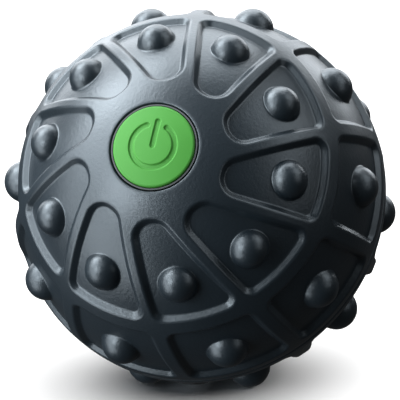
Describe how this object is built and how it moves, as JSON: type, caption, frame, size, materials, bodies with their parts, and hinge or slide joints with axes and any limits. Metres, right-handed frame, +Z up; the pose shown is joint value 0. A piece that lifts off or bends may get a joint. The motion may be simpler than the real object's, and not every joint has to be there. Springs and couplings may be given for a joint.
{
  "type": "massage ball",
  "caption": "Handheld vibrating massage ball: ribbed, nubbed soft-touch skin in two halves, domed push button, inner motor with an eccentric weight, and a bayonet battery cover.",
  "frame": {"origin": "point on the floor straight under the ball's centre, with the ball at rest between three nubs of its rear half", "axes": "+Z up; -Y is the side that the power button faces, tilted upwards; +X to the right as seen from the button's side"},
  "size_m": [0.0932, 0.0932, 0.092],
  "materials": {
    "soft_skin": "soft-touch matte elastomer",
    "black_rubber": "matte",
    "casing_plastic": "moulded, fine texture",
    "button_green": "satin",
    "trim_plastic": "satin",
    "board_laminate": "solder mask",
    "component_plastic": "moulded",
    "chassis_plastic": "moulded",
    "cover_plastic": "fine texture",
    "steel": "zinc plated",
    "plated_steel": "nickel plated",
    "core_iron": "laminated",
    "magnet_ferrite": "sintered",
    "contact_brass": "plated",
    "weight_metal": "sintered",
    "cell_jacket": "printed jacket",
    "lead_insulation": "pvc"
  },
  "bodies": {
    "ball": {"front_skin": "soft_skin", "rear_skin": "soft_skin", "seam_gasket": "black_rubber", "front_casing": "casing_plastic", "rear_casing": "casing_plastic", "casing_screws": "steel", "button_ring": "trim_plastic", "circuit_board": "board_laminate", "board_screws": "steel", "board_components": "component_plastic", "switch_body": "component_plastic", "chassis": "chassis_plastic", "chassis_screws": "steel", "motor_can": "plated_steel", "motor_end_cap": "component_plastic", "motor_terminals": "contact_brass", "motor_magnets": "magnet_ferrite", "motor_clamp": "plated_steel", "clamp_screws": "steel", "battery_cartridge": "chassis_plastic", "battery_cell_1": "cell_jacket", "battery_cell_2": "cell_jacket", "battery_cell_3": "cell_jacket", "cartridge_contacts": "contact_brass", "cell_springs": "plated_steel", "tube_contact": "contact_brass", "motor_leads": "lead_insulation", "battery_leads": "lead_insulation"},
    "button": {"button_cap": "button_green"},
    "plunger": {"switch_plunger": "trim_plastic"},
    "rotor": {"motor_shaft": "steel", "motor_armature": "core_iron", "motor_commutator": "contact_brass", "eccentric_weight": "weight_metal"},
    "cover": {"battery_cover": "cover_plastic", "battery_seal": "black_rubber", "cover_spring": "plated_steel"}
  },
  "joints": [
    {"name": "button_press", "type": "slide", "parent": "ball", "child": "button", "axis": [0, 0.8841, -0.4673], "range_m": [0, 0.0008], "stiffness_N_per_m": 1500, "springref_m": -0.0005},
    {"name": "plunger_press", "type": "slide", "parent": "ball", "child": "plunger", "axis": [0, 0.8841, -0.4673], "range_m": [0, 0.0008]},
    {"name": "motor_spin", "type": "hinge", "parent": "ball", "child": "rotor", "pos_m": [0, -0.02051, 0.05684], "axis": [1, 0, 0], "continuous": true},
    {"name": "cover_turn", "type": "hinge", "parent": "ball", "child": "cover", "pos_m": [0, 0, 0.046], "axis": [0, -0.8841, 0.4673], "range_deg": [0, 40]}
  ],
  "couplings": [
    {"joint": "plunger_press", "follows": "button_press", "ratio": 1}
  ]
}
